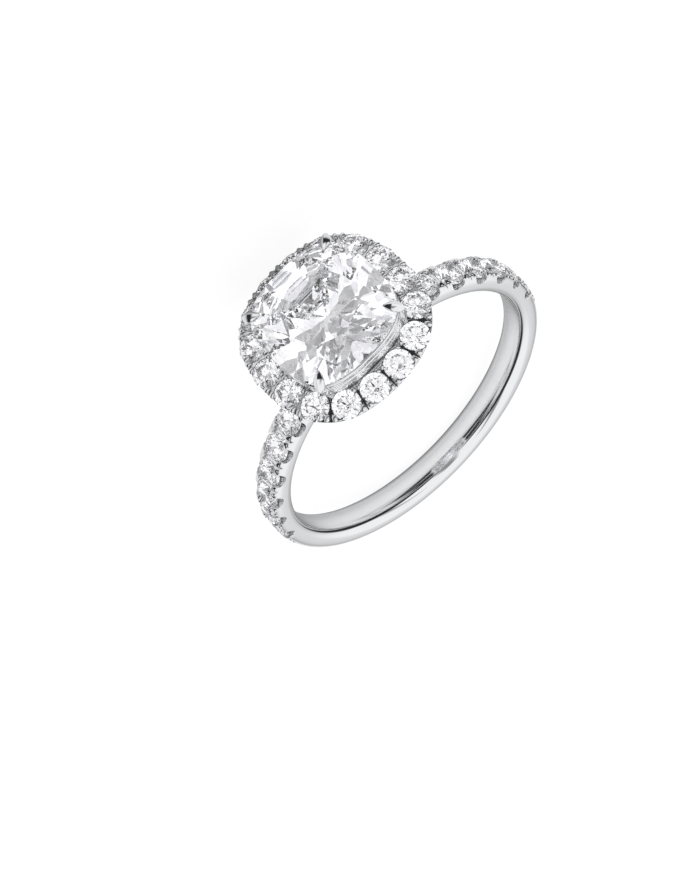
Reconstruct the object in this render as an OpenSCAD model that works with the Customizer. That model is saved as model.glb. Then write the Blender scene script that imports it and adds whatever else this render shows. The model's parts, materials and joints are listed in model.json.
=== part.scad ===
// Diamond ring: a cushion cut centre stone held by four claws, a halo of sixteen
// round brilliants, and six round brilliants on each shoulder of a polished shank.
// Each module builds its piece on the upright ring: X runs across the finger,
// Y along it and Z up to the head, with the centre of the finger hole at zero.
// laid_down() then puts the ring on its side, resting on its halo and its shank.

/* [Finger hole] */
// Diameter of the finger hole
hole_d = 16.5; // [16:0.1:18]
// Width of the straight wall of the finger hole, between its rounded edges
flat_w = 1; // [0.9:0.05:1.1]

/* [Shank] */
// Width of the shank along the finger
shank_w = 1.94; // [1.9:0.02:2.02]
// Thickness of the shank at its two sides
side_t = 1.47; // [1.43:0.02:1.55]
// Thickness of the shank at its bottom
bottom_t = 1.4; // [1.3:0.05:1.45]
// Squareness of the rounded outside of the shank, 2 for an ellipse
shank_power = 2.8; // [2.2:0.1:3]

/* [Shoulder stones] */
// Diameter of each shoulder stone
shoulder_d = 1.7; // [1.64:0.02:1.74]
// Angle from the head to the first shoulder stone
shoulder_start = 33.2; // [32:0.2:35]
// Angle between two shoulder stones
shoulder_step = 11.5; // [11.4:0.1:12]
// Depth of the girdles below the outside of the shank
shoulder_sink = 0.33; // [0.29:0.02:0.37]

/* [Centre stone] */
// Width of the centre stone across its sides
centre_w = 7.36; // [7.2:0.02:7.4]
// Squareness of its outline, 2 for a circle
centre_power = 3; // [2.8:0.1:3.1]
// Height of its girdle above the wall of the finger hole
centre_rise = 5.6; // [5.5:0.05:5.8]
// Height of its crown
centre_crown = 0.95; // [0.8:0.05:1]
// Depth of its pavilion
centre_depth = 3.2; // [2.9:0.1:3.2]

/* [Halo] */
// Half the width of the ring of halo stones, from centre to centre across the sides
halo_half = 4.42; // [4.4:0.02:4.5]
// Distance from the middle of the halo to that ring across the corners
halo_corner = 4.72; // [4.7:0.02:4.8]
// Radius of that ring round the corners
corner_r = 3.2; // [3.1:0.1:3.4]
// Diameter of each halo stone
halo_d = 1.68; // [1.64:0.02:1.7]
// Height of the halo girdles above the wall of the finger hole
halo_rise = 3.7; // [3.65:0.05:3.75]
// How far the halo stones lean outwards, in degrees
halo_tilt = 15; // [13:1:16]

/* [Claws] */
// Thickness of a claw at its elbow
claw_d = 0.62; // [0.56:0.02:0.66]
// Reach of a claw over the crown, from the corner of the centre stone
claw_reach = 0.66; // [0.5:0.02:0.8]

/* [Hidden] */
HALO_COUNT = 16;
SHOULDER_COUNT = 12;

$fn = 96;
SMALL_FN = 32;
SKIN = 0.03;            // gap between a stone and the metal round it
OVER = 1;               // how far a cutting tool runs past what it cuts
METAL = [0.85, 0.86, 0.88];
DIAMOND = [0.82, 0.88, 0.96];

// Cut of every stone
TABLE = 0.58;           // table over girdle, measured to the table's corners
CENTRE_TABLE = 0.6;
STAR = 0.69;            // how far up the crown the star facets end
LOWER = 0.8;            // how far down the pavilion the lower facets end
CROWN_SLOPE = tan(34.5);
PAVILION_SLOPE = tan(40.75);
GIRDLE_SHARE = 0.045;   // girdle thickness over the radius of a round stone
CENTRE_GIRDLE = 0.1;
MAINS = 8;
GIRDLE_FLATS = 16;
CENTRE_FLATS = 48;

// Shank
hole_r = hole_d / 2;
half_w = shank_w / 2;
side_r = hole_r + side_t;
bottom_r = hole_r + bottom_t;
outer_r = (side_r * side_r / bottom_r + bottom_r) / 2;
outer_shift = outer_r - bottom_r;
rim_h = bottom_t / 2;
flare_h = 0.4 * bottom_t;
RIM_STEP = 15;
rim = [for (a = [0:RIM_STEP:90 - RIM_STEP]) [
    outer_r - rim_h * (1 - pow(sin(a), 2 / shank_power)),
    half_w * pow(cos(a), 2 / shank_power)
]];

// Shoulders
shoulder_r = shoulder_d / 2;
notch_r = 0.5;          // radius of the round notch that opens each seat to the sides
notch_half = 0.96 * notch_r;
notch_low = 0.03;       // how far its centre lies below the girdle
bead_r = 0.18;
bead_out = 0.6;         // distance of a shoulder bead from the middle of the shank
BEAD_TOP = 0.12;        // centre of its round end above the girdle
BEAD_FOOT = 0.3;        // depth of its foot below the girdle
END_BEAD = 0.56;        // place of the bead past the last stone, in steps

// Halo
halo_r = halo_d / 2;
halo_z = hole_r + halo_rise;
corner_at = (halo_corner - corner_r) / sqrt(2);
inset = halo_half - corner_r;
side_shift = (2 * corner_at * corner_at - inset * inset) / (2 * (inset - corner_at));
flank_r = halo_half + side_shift;
flank_a = atan(corner_at / (corner_at + side_shift));
flank_len = flank_r * flank_a * PI / 180;
corner_len = corner_r * (90 - 2 * flank_a) * PI / 180;
quarter_len = 2 * flank_len + corner_len;
halo_pitch = 4 * quarter_len / HALO_COUNT;
BAND_TOP = 0.25;        // top and bottom of the band below the middle of the girdles
BAND_LOW = 0.7;
BAND_OUT = 0.62;        // how far the band reaches past the ring of stones
BAND_IN = 0.95;
HALO_FLATS = 64;
OUTER_PRONG = [0.18, 0.58];     // radius, and distance from the ring of stones
INNER_PRONG = [0.15, -0.64];
PRONG_TOP = 0.1;        // centre of a prong's round end above the girdle
PRONG_FOOT = 0.5;       // depth of its foot below the girdle
DRILL_R = 0.34;         // hole under each halo stone

// Head
centre_half = centre_w / 2;
centre_z = hole_r + centre_rise;
crown_z = centre_z + CENTRE_GIRDLE;
table_z = crown_z + centre_crown;
corner_d = outline_r(centre_half, centre_power, 45);
corner_crown = centre_crown / (corner_d * (1 - CENTRE_TABLE));
corner_pavilion = centre_depth / corner_d;
claw_r = claw_d / 2;
TIP_R = 0.08;
STEM_R = 0.27;
JOINT = 1.06;           // ball at a bend of a claw over the bars that meet in it
elbow = [corner_d + 0.14, crown_z + 0.12];
knee = [halo_corner - 1.02, halo_z - 0.35];
foot = [2.1, hole_r + 2.3];
tip_d = corner_d - claw_reach;
tip = [tip_d, crown_z + corner_crown * claw_reach + 0.1];

// Rails that follow the centre stone, from the top down: how far inside its outline,
// thickness, and lower and upper edge below its girdle
RAIL_IN = 0;
RAIL_WALL = 1;
RAIL_LOW = 2;
RAIL_TOP = 3;
RAILS = [
    [0.04, 0.27, 0.65, 0.3],
    [0.1, 0.3, 1.3, 0.6],
    [0.27, 0.22, centre_z - halo_z + BAND_LOW, 1.25]
];
LOWER_RAIL = 2.08;
LOWER_WALL = 0.42;
LOWER_H = 0.42;
POST_X = 1.7;
POST_R = 0.45;

// The ring lies on the girdles of two halo stones and on the rim of its shank
rest_edge = girdle_edge(HALO_COUNT / 4);
lie_angle = min([for (p = rim) max([for (q = rest_edge)
    atan((q[0] - p[1]) / (q[1] + p[0] - outer_shift))])]);
lift = max([for (q = rest_edge) q[0] * cos(lie_angle) - q[1] * sin(lie_angle)]);
far_y = table_z * cos(lie_angle) + CENTRE_TABLE * centre_half * sin(lie_angle);
near_y = max([for (p = rim) (p[0] - outer_shift) * cos(lie_angle) + p[1] * sin(lie_angle)]);
mid_y = (far_y - near_y) / 2;

// Radius of a cushion outline in one direction
function outline_r(half, power, a) =
    half / pow(pow(abs(cos(a)), power) + pow(abs(sin(a)), power), 1 / power);

// Corner points of a cushion outline, moved in by inset
function outline(half, power, inset, count) =
    [for (i = [0:count - 1]) let (a = 360 * i / count)
        (outline_r(half, power, a) - inset) * [cos(a), sin(a)]];

// Radius of the outside of the shank at an angle from the head
function shank_r(a) =
    outer_shift * cos(a) + sqrt(outer_r * outer_r - pow(outer_shift * sin(a), 2));

// A point of the ring of halo stones, a length s round from the X axis, moved out
function halo_xy(s, out) =
    let (q = floor(s / quarter_len), u = s - q * quarter_len, v = quarter_len - u)
    turned(90 * q,
        u < flank_len ? flank_xy(u, out)
        : v < flank_len ? let (p = flank_xy(v, out)) [p[1], p[0]]
        : let (a = halo_a(u)) [corner_at, corner_at] + (corner_r + out) * [cos(a), sin(a)]);

function flank_xy(u, out) =
    let (a = u / flank_r * 180 / PI)
    [(flank_r + out) * cos(a) - side_shift, (flank_r + out) * sin(a)];

// Direction in which the halo faces outwards at a length s
function halo_a(s) =
    let (q = floor(s / quarter_len), u = s - q * quarter_len, v = quarter_len - u)
    90 * q + (u < flank_len ? u / flank_r * 180 / PI
        : v < flank_len ? 90 - v / flank_r * 180 / PI
        : flank_a + (u - flank_len) / corner_r * 180 / PI);

function turned(a, p) = [p[0] * cos(a) - p[1] * sin(a), p[0] * sin(a) + p[1] * cos(a)];

function halo_outline(out) =
    [for (i = [0:HALO_FLATS - 1]) halo_xy((i + 0.5) * 4 * quarter_len / HALO_FLATS, out)];

// Corners of a halo stone's girdle, as distance along Y and height
function girdle_edge(i) =
    let (s = (i - 0.5) * halo_pitch, a = halo_a(s), y = halo_xy(s, 0)[1])
    [for (k = [0:GIRDLE_FLATS - 1], h = [0, GIRDLE_SHARE * halo_r])
        let (t = 360 * k / GIRDLE_FLATS, u = halo_r * cos(t), v = halo_r * sin(t))
        [y + (u * cos(halo_tilt) + h * sin(halo_tilt)) * sin(a) + v * cos(a),
         halo_z + h * cos(halo_tilt) - u * sin(halo_tilt)]];

// Where the lines at distances d1 and d2 from the middle cross
function crossing(a1, d1, a2, d2) =
    [d1 * sin(a2) - d2 * sin(a1), d2 * cos(a1) - d1 * cos(a2)] / sin(a2 - a1);

function at_height(p, z) = [p[0], p[1], z];

// Angle of a shoulder stone, the first six towards +X and the others towards -X
function shoulder_a(i) =
    let (half = SHOULDER_COUNT / 2, k = (i - 1) % half)
    (i <= half ? 1 : -1) * (shoulder_start + k * shoulder_step);

module laid_down() {
    translate([0, -mid_y, lift]) rotate([lie_angle - 90, 0, 0]) children();
}

module round_finger(a) {
    rotate([0, a, 0]) children();
}

// A brilliant cut: table, main, star and upper facets above the girdle, main and lower below
module brilliant(half, power, table, girdle_h, crown_h, depth, flats) {
    turn = 360 / MAINS;
    reach = [for (k = [0:MAINS]) outline_r(half, power, k * turn)];
    crown = 1 - (1 - table) * STAR;
    points = concat(
        [for (k = [0:MAINS - 1])
            table * reach[k] * [cos(k * turn), sin(k * turn), 0] + [0, 0, girdle_h + crown_h]],
        [for (k = [0:MAINS - 1]) at_height(
            crossing(k * turn, crown * reach[k], (k + 1) * turn, crown * reach[k + 1]),
            girdle_h + STAR * crown_h)],
        [for (z = [0, girdle_h]) each
            [for (p = outline(half, power, 0, flats)) at_height(p, z)]],
        [for (k = [0:MAINS - 1]) at_height(
            crossing(k * turn, (1 - LOWER) * reach[k], (k + 1) * turn, (1 - LOWER) * reach[k + 1]),
            -LOWER * depth)],
        [[0, 0, -depth]]
    );
    hull() polyhedron(points, [[for (i = [0:len(points) - 1]) i]]);
}

module round_stone(r) {
    color(DIAMOND)
        brilliant(r, 2, TABLE, GIRDLE_SHARE * r, CROWN_SLOPE * (1 - TABLE) * r,
            PAVILION_SLOPE * r, GIRDLE_FLATS);
}

// What is cut away for a round stone: its girdle, its pavilion and the way in
module seat(r, drill_r, drill_depth) {
    wall = r + SKIN;
    rotate_extrude($fn = SMALL_FN) polygon(concat(
        [[0, OVER], [wall, OVER], [wall, -SKIN]],
        drill_r > 0
            ? [[drill_r, -SKIN - (wall - drill_r) * PAVILION_SLOPE],
               [drill_r, -drill_depth], [0, -drill_depth]]
            : [[0, -SKIN - wall * PAVILION_SLOPE]]
    ));
}

// A short rod with a round end
module prong(r, low, high) {
    translate([0, 0, low]) cylinder(h = high - low, r = r, $fn = SMALL_FN);
    translate([0, 0, high]) sphere(r = r, $fn = SMALL_FN);
}

// A round bar between two points, r1 thick at the first and r2 at the second
module bar(p1, p2, r1, r2) {
    d = p2 - p1;
    translate(p1)
        rotate([0, acos(d[2] / norm(d)), atan2(d[1], d[0])])
            cylinder(h = norm(d), r1 = r1, r2 = r2, $fn = SMALL_FN);
}

module shank() {
    difference() {
        translate([0, 0, outer_shift]) rotate([90, 0, 0])
            rotate_extrude() polygon(concat(
                [[0, -half_w]],
                [for (p = rim) [p[0], -p[1]]],
                [for (i = [len(rim) - 1:-1:0]) rim[i]],
                [[0, half_w]]
            ));
        for (s = [-1, 1]) rotate([90 * s, 0, 0]) hole_flare();
    }
}

// Rounds the edge between the finger hole and one side of the shank
module hole_flare() {
    low = flat_w / 2;
    rotate_extrude() polygon(concat(
        [[0, low]],
        [for (a = [0:22.5:90]) [hole_r + flare_h * (1 - cos(a)), low + (half_w - low) * sin(a)]],
        [[hole_r + flare_h, half_w + OVER], [0, half_w + OVER]]
    ));
}

module finger_hole() {
    rotate([90, 0, 0]) cylinder(h = shank_w + 2 * OVER, r = hole_r, center = true, $fn = 192);
}

// Seat and side notch of one shoulder stone
module shoulder_cut(a) {
    girdle = shank_r(a) - shoulder_sink;
    round_finger(a) translate([0, 0, girdle]) {
        seat(shoulder_r, 0, 0);
        translate([0, 0, -notch_low]) rotate([90, 0, 0])
            cylinder(h = shank_w + OVER, r = notch_r, center = true, $fn = SMALL_FN);
        translate([-notch_half, -(shank_w + OVER) / 2, -notch_low])
            cube([2 * notch_half, shank_w + OVER, OVER]);
    }
}

// The pair of beads between two shoulder stones
module shoulder_beads(a) {
    round_finger(a) for (s = [-1, 1])
        translate([0, s * bead_out, shank_r(a) - shoulder_sink])
            prong(bead_r, -BEAD_FOOT, BEAD_TOP);
}

// Puts a piece on the halo, a length s round it, leaning outwards as the stones do
module on_halo(s) {
    translate(at_height(halo_xy(s, 0), halo_z)) rotate([0, halo_tilt, halo_a(s)]) children();
}

// The band that carries the halo stones, with a seat for each
module halo_band() {
    difference() {
        translate([0, 0, halo_z - BAND_LOW]) linear_extrude(BAND_LOW - BAND_TOP) difference() {
            polygon(halo_outline(BAND_OUT));
            polygon(halo_outline(-BAND_IN));
        }
        for (i = [0:HALO_COUNT - 1])
            on_halo((i + 0.5) * halo_pitch) seat(halo_r, DRILL_R, BAND_LOW + OVER);
    }
}

// Prongs between the halo stones, outside and inside, with the claws in place of four
module halo_prongs() {
    per_side = HALO_COUNT / 4;
    for (i = [0:HALO_COUNT - 1], p = [OUTER_PRONG, INNER_PRONG])
        if (p == OUTER_PRONG || i % per_side != per_side / 2)
            on_halo(i * halo_pitch) translate([p[1], 0, 0]) prong(p[0], -PRONG_FOOT, PRONG_TOP);
}

// A ring of metal that follows the cushion outline
module rail(half, inset, wall, low, top) {
    translate([0, 0, low]) linear_extrude(top - low) difference() {
        polygon(outline(half, centre_power, inset, CENTRE_FLATS));
        polygon(outline(half, centre_power, inset + wall, CENTRE_FLATS));
    }
}

// One claw in the plane of a corner: leg, stem, elbow and pointed tip, notched for the stone
module claw() {
    bar([foot[0], 0, foot[1]], [knee[0], 0, knee[1]], STEM_R, STEM_R);
    translate([knee[0], 0, knee[1]]) sphere(r = JOINT * STEM_R, $fn = SMALL_FN);
    difference() {
        union() {
            bar([knee[0], 0, knee[1]], [elbow[0], 0, elbow[1]], STEM_R, claw_r);
            translate([elbow[0], 0, elbow[1]]) sphere(r = JOINT * claw_r, $fn = SMALL_FN);
            bar([elbow[0], 0, elbow[1]], [tip[0], 0, tip[1]], claw_r, TIP_R);
            translate([tip[0], 0, tip[1]]) sphere(r = JOINT * TIP_R, $fn = SMALL_FN);
        }
        claw_notch();
    }
}

// The corner of the centre stone with its gap all round, seen across the corner
module claw_notch() {
    edge = corner_d + SKIN;
    back = edge - 2;
    rotate([90, 0, 0]) linear_extrude(4 * claw_r, center = true) polygon([
        [edge, centre_z - SKIN],
        [edge, crown_z + SKIN],
        [back, crown_z + SKIN + 2 * corner_crown],
        [back, centre_z - SKIN - 2 * corner_pavilion]
    ]);
}

module head() {
    for (r = RAILS)
        rail(centre_half, r[RAIL_IN], r[RAIL_WALL], centre_z - r[RAIL_LOW], centre_z - r[RAIL_TOP]);
    rail(LOWER_RAIL, 0, LOWER_WALL, foot[1] - LOWER_H / 2, foot[1] + LOWER_H / 2);
    for (k = [0:3]) rotate([0, 0, 45 + 90 * k]) claw();
    for (s = [-1, 1]) translate([s * POST_X, 0, hole_r + bottom_t / 2])
        cylinder(h = foot[1] - hole_r - bottom_t / 2, r = POST_R, $fn = SMALL_FN);
}

module ring_metal() {
    gap = SHOULDER_COUNT / 2 - 1;
    color(METAL) laid_down() {
        difference() {
            shank();
            finger_hole();
            for (i = [1:SHOULDER_COUNT]) shoulder_cut(shoulder_a(i));
        }
        halo_band();
        halo_prongs();
        head();
        for (s = [-1, 1], k = [0:gap]) shoulder_beads(s * (shoulder_start
            + (k < gap ? k + 0.5 : gap + END_BEAD) * shoulder_step));
    }
}

module centre_stone() {
    color(DIAMOND) laid_down() translate([0, 0, centre_z])
        brilliant(centre_half, centre_power, CENTRE_TABLE, CENTRE_GIRDLE, centre_crown,
            centre_depth, CENTRE_FLATS);
}

module halo_stone(i) {
    laid_down() on_halo((i - 0.5) * halo_pitch) round_stone(halo_r);
}

module shoulder_stone(i) {
    a = shoulder_a(i);
    laid_down() round_finger(a) translate([0, 0, shank_r(a) - shoulder_sink])
        round_stone(shoulder_r);
}

ring_metal();
centre_stone();
for (i = [1:HALO_COUNT])
    halo_stone(i);
for (i = [1:SHOULDER_COUNT])
    shoulder_stone(i);
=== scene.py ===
"""Diamond ring: the finish of a cushion cut halo ring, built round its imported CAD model.

Every piece is modelled on the upright ring, in metres: X runs across the finger, Y along it and
Z up to the head, with the centre of the finger hole at zero. lay_down() then puts it where the
CAD model lies.
"""

import json
import math

import bmesh
import bpy
from bpy.props import FloatProperty, FloatVectorProperty, IntProperty, PointerProperty
from mathutils import Matrix, Vector
from mathutils.geometry import interpolate_bezier


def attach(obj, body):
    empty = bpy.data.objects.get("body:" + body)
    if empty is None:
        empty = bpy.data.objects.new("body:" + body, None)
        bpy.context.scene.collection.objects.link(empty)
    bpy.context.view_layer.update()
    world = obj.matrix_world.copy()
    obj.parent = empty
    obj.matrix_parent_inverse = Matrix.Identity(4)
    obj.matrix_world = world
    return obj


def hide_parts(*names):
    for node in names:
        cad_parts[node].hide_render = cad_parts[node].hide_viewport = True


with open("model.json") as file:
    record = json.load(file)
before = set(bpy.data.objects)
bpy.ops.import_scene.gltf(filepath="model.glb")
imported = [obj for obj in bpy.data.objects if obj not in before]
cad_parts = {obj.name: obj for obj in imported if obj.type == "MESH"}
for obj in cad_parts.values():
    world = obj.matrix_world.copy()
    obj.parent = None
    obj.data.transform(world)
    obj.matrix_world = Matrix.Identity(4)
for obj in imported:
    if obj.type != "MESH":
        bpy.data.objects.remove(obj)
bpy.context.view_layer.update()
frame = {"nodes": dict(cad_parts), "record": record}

bl_info = {
    "name": "Halo Ring",
    "version": (1, 0, 0),
    "blender": (4, 5, 0),
    "location": "View3D > Sidebar > Halo Ring",
    "description": "Builds a cushion cut halo ring and the studio it is shown in",
    "category": "Add Mesh",
}

MM = 0.001
TINY = 1e-7
EIGHTH = math.pi / 4
WHITE = (1.0, 1.0, 1.0)
ROOT = "root"
METAL_NODE = "ring_metal"
CENTRE_NODE = "centre_stone"
METAL_NAME = "polished_white_metal"
BORE = frame["record"]["mounts"][0]
HOLE_R = BORE["dims"]["r_mm"] * MM

HALO_COUNT = 16
PER_SIDE = HALO_COUNT // 4
SHOULDER_COUNT = 12
PER_SHOULDER = SHOULDER_COUNT // 2
# Clearance between a stone and its seat
SKIN = 0.03 * MM
# Slope of the pavilion of a round stone, which its seat follows
PAVILION_SLOPE = math.radians(40.75)
SEAT_STEPS = 48
BEAD_STEPS = 16
# How far a cutting solid reaches past what it cuts
OVER = 1 * MM
# The claws' feet and the lower rail, above the wall of the finger hole
FOOT_RISE = 2.3 * MM
# Edges that turn by more than this stay sharp, on cast pieces and on finely cut ones
CAST_EDGE = math.radians(35)
CUT_EDGE = math.radians(25)


def length(name, description, size_mm):
    """A length property, with its default in millimetres"""
    return FloatProperty(
        name=name, description=description, default=size_mm * MM, precision=5, unit="LENGTH"
    )


def angle(name, description, degrees):
    """An angle property, with its default in degrees"""
    return FloatProperty(
        name=name, description=description, default=math.radians(degrees), subtype="ANGLE"
    )


def share(name, description, default):
    """A plain number from 0 to 1"""
    return FloatProperty(name=name, description=description, default=default, min=0, max=1)


def amount(name, description, default, unit="NONE"):
    """A number without limits"""
    return FloatProperty(name=name, description=description, default=default, unit=unit)


def colour(name, description, red, green, blue):
    """A colour property"""
    return FloatVectorProperty(
        name=name, description=description, default=(red, green, blue), subtype="COLOR", min=0, max=1
    )


class RingSizes(bpy.types.PropertyGroup):
    """Sizes of the ring, which repeat those of its CAD model"""

    hole_r: length("Hole radius", "Radius of the finger hole", HOLE_R / MM)
    flat_w: length("Flat wall", "Width of the straight wall of the finger hole", 1)
    shank_w: length("Shank width", "Width of the shank along the finger", 1.94)
    side_t: length("Side thickness", "Thickness of the shank at its two sides", 1.47)
    bottom_t: length("Bottom thickness", "Thickness of the shank at its bottom", 1.4)
    shank_power: amount("Shank squareness", "Squareness of the rounded outside of the shank", 2.8)
    shoulder_d: length("Shoulder stone", "Diameter of each shoulder stone", 1.7)
    shoulder_start: angle("Shoulder start", "Angle from the head to the first shoulder stone", 33.2)
    shoulder_step: angle("Shoulder step", "Angle between two shoulder stones", 11.5)
    shoulder_sink: length("Shoulder depth", "Depth of the girdles below the outside of the shank", 0.33)
    centre_w: length("Centre width", "Width of the centre stone across its sides", 7.36)
    centre_power: amount("Centre squareness", "Squareness of the centre stone's outline", 3)
    centre_rise: length("Centre height", "Height of its girdle above the wall of the finger hole", 5.6)
    centre_crown: length("Centre crown", "Height of the centre stone's crown", 0.95)
    centre_depth: length("Centre depth", "Depth of the centre stone's pavilion", 3.2)
    centre_girdle: length("Centre girdle", "Thickness of the centre stone's girdle", 0.1)
    centre_table: share("Centre table", "Width of its table over its girdle", 0.6)
    halo_half: length("Halo half width", "Half the width of the ring of halo stones", 4.42)
    halo_corner: length("Halo corner", "From the middle of the halo to its ring of stones at a corner", 4.72)
    corner_r: length("Halo corner radius", "Radius of the ring of stones round the corners", 3.2)
    halo_d: length("Halo stone", "Diameter of each halo stone", 1.68)
    halo_rise: length("Halo height", "Height of the halo girdles above the wall of the finger hole", 3.7)
    halo_tilt: angle("Halo lean", "How far the halo stones lean outwards", 15)
    claw_d: length("Claw thickness", "Thickness of a claw at its elbow", 0.62)
    claw_reach: length("Claw reach", "Reach of a claw over the crown", 0.66)


class RingFinish(bpy.types.PropertyGroup):
    """Colours and polish of the ring"""

    metal: colour("Metal", "Colour of the polished metal", 0.88, 0.885, 0.895)
    metal_roughness: share("Metal roughness", "Roughness of the polished metal", 0.07)
    # Painted shade: how much darker the metal is painted in recesses and corners, where ambient occlusion
    # finds little open air
    painted_recess_shade: share("Recesses", "How dark the metal is where no polishing wheel reaches", 0.5)
    centre: colour("Centre stone", "Colour of the centre stone", 0.985, 0.985, 1.0)
    centre_tint: colour("Centre tint", "Second colour of the centre stone", 0.965, 0.965, 1.0)
    small: colour("Small stones", "Colour of the small stones", 0.99, 0.99, 1.0)
    small_tint: colour("Small tint", "Second colour of the small stones", 0.975, 0.975, 1.0)
    stone_ior: amount("Stone IOR", "Index of refraction of the stones", 2.42)


class StudioSettings(bpy.types.PropertyGroup):
    """Camera, floor and light"""

    lens: amount("Lens", "Focal length of the camera in millimetres", 368.8, "CAMERA")
    distance: length("Distance", "From the camera to the finger hole", 495)
    floor_half: length("Floor", "Half the width of the floor", 1500)
    floor: colour("Floor", "Colour of the floor", 0.9, 0.9, 0.905)
    floor_glow: amount("Floor glow", "Light that comes up through the floor", 0.93)
    backdrop: colour("Backdrop", "Colour behind the floor", 0.95, 0.95, 0.95)
    fill: amount("Fill light", "Brightness of the surroundings", 1.0)
    sun: amount("Floor light", "Strength of the soft light on the floor", 0.5)
    detail: IntProperty(name="Detail", description="Steps round the shank", default=288, min=96, max=512)


def lay_down():
    """Where the upright ring's frame lies in the row's frame"""
    along = -Vector(BORE["axis"])
    across = Vector((1, 0, 0))
    up = across.cross(along)
    turned_over = Matrix((across, along, up)).transposed().to_4x4()
    return Matrix.Translation(Vector(BORE["pos_m"])) @ turned_over


class Shape:
    """Sizes worked out from the driving ones, in the way the CAD source does"""

    def __init__(self, sizes):
        self.sizes = sizes
        # The outside of the shank is a circle through its bottom and its two sides
        side_r = sizes.hole_r + sizes.side_t
        bottom_r = sizes.hole_r + sizes.bottom_t
        self.outer_r = (side_r * side_r / bottom_r + bottom_r) / 2
        self.outer_shift = self.outer_r - bottom_r
        self.half_w = sizes.shank_w / 2
        self.shoulder_r = sizes.shoulder_d / 2
        # The halo's middle line is four corner arcs, and four flat ones that run on from them
        self.halo_r = sizes.halo_d / 2
        self.halo_z = sizes.hole_r + sizes.halo_rise
        self.corner_at = (sizes.halo_corner - sizes.corner_r) / math.sqrt(2)
        inset = sizes.halo_half - sizes.corner_r
        self.side_shift = (2 * self.corner_at**2 - inset**2) / (2 * (inset - self.corner_at))
        self.flank_r = sizes.halo_half + self.side_shift
        self.flank_a = math.atan(self.corner_at / (self.corner_at + self.side_shift))
        self.flank_len = self.flank_r * self.flank_a
        corner_len = sizes.corner_r * (math.pi / 2 - 2 * self.flank_a)
        self.quarter_len = 2 * self.flank_len + corner_len
        self.halo_len = 4 * self.quarter_len
        self.halo_pitch = self.halo_len / HALO_COUNT
        self.centre_half = sizes.centre_w / 2
        self.centre_z = sizes.hole_r + sizes.centre_rise
        self.crown_z = self.centre_z + sizes.centre_girdle
        self.corner_d = self.outline_r(math.pi / 4)
        self.foot_z = sizes.hole_r + FOOT_RISE

    def outline_r(self, a):
        """Radius of the centre stone's outline in one direction"""
        power = self.sizes.centre_power
        return self.centre_half / (abs(math.cos(a)) ** power + abs(math.sin(a)) ** power) ** (1 / power)

    def outline_reach(self, a):
        """How far the centre stone's outline reaches in one direction"""
        dual = self.sizes.centre_power / (self.sizes.centre_power - 1)
        return self.centre_half * (abs(math.cos(a)) ** dual + abs(math.sin(a)) ** dual) ** (1 / dual)

    def shank_r(self, a):
        """Radius of the outside of the shank at an angle from the head"""
        across = self.outer_shift * math.sin(a)
        return self.outer_shift * math.cos(a) + math.sqrt(self.outer_r**2 - across**2)

    def halo_place(self, along):
        """The halo's middle line at a length along it, turned outwards and leaning"""
        quarter, done = divmod(along, self.quarter_len)
        left = self.quarter_len - done
        if done < self.flank_len:
            a = done / self.flank_r
            x, y = self.flank_r * math.cos(a) - self.side_shift, self.flank_r * math.sin(a)
        elif left < self.flank_len:
            a = math.pi / 2 - left / self.flank_r
            x, y = self.flank_r * math.cos(a), self.flank_r * math.sin(a) - self.side_shift
        else:
            a = self.flank_a + (done - self.flank_len) / self.sizes.corner_r
            x = self.corner_at + self.sizes.corner_r * math.cos(a)
            y = self.corner_at + self.sizes.corner_r * math.sin(a)
        turn = Matrix.Rotation(quarter * math.pi / 2, 4, "Z")
        place = Matrix.Translation((x, y, self.halo_z)) @ Matrix.Rotation(a, 4, "Z")
        return turn @ place @ Matrix.Rotation(self.sizes.halo_tilt, 4, "Y")

    def shoulder_place(self, side, step):
        """The girdle plane of a shoulder stone, a number of steps from the first on its side"""
        a = side * (self.sizes.shoulder_start + step * self.sizes.shoulder_step)
        up = self.shank_r(a) - self.sizes.shoulder_sink
        return Matrix.Rotation(a, 4, "Y") @ Matrix.Translation((0, 0, up))


def outline(points, closed=True):
    """A mesh of edges that run from point to point"""
    bm = bmesh.new()
    verts = [bm.verts.new(point) for point in points]
    following = verts[1:] + verts[:1] if closed else verts[1:]
    for a, b in zip(verts, following):
        bm.edges.new((a, b))
    return bm


def turned(bm, steps, axis=(0, 0, 1)):
    """A solid from an outline, turned all the way round an axis through zero"""
    bmesh.ops.spin(
        bm, geom=bm.verts[:] + bm.edges[:], cent=(0, 0, 0), axis=axis, angle=2 * math.pi,
        steps=steps, use_merge=True,
    )
    bmesh.ops.remove_doubles(bm, verts=bm.verts, dist=TINY)
    bmesh.ops.recalc_face_normals(bm, faces=bm.faces)
    return bm


def round_solid(points, steps):
    """A solid turned round Z from (radius, height) points that begin and end on the axis"""
    return turned(outline([(r, 0, z) for r, z in points], closed=False), steps)


def ring_solid(points, steps, corner_r, corner_steps):
    """A ring round Z whose section has rounded corners at (radius, height) points"""
    bm = outline([(r, 0, z) for r, z in points])
    bmesh.ops.bevel(
        bm, geom=bm.verts[:], offset=corner_r, offset_type="OFFSET", segments=corner_steps,
        profile=0.5, affect="VERTICES", material=-1,
    )
    return turned(bm, steps)


def seat_solid(r, drill_r=0.0, drill_depth=0.0):
    """What is cut away for a round stone: the way in, its girdle, its pavilion and a drilled hole"""
    wall = r + SKIN
    neck = -SKIN - (wall - drill_r) * math.tan(PAVILION_SLOPE)
    points = [(0, OVER), (wall, OVER), (wall, -SKIN), (drill_r, neck)]
    if drill_r:
        points += [(drill_r, -drill_depth), (0, -drill_depth)]
    return round_solid(points, SEAT_STEPS)


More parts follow.
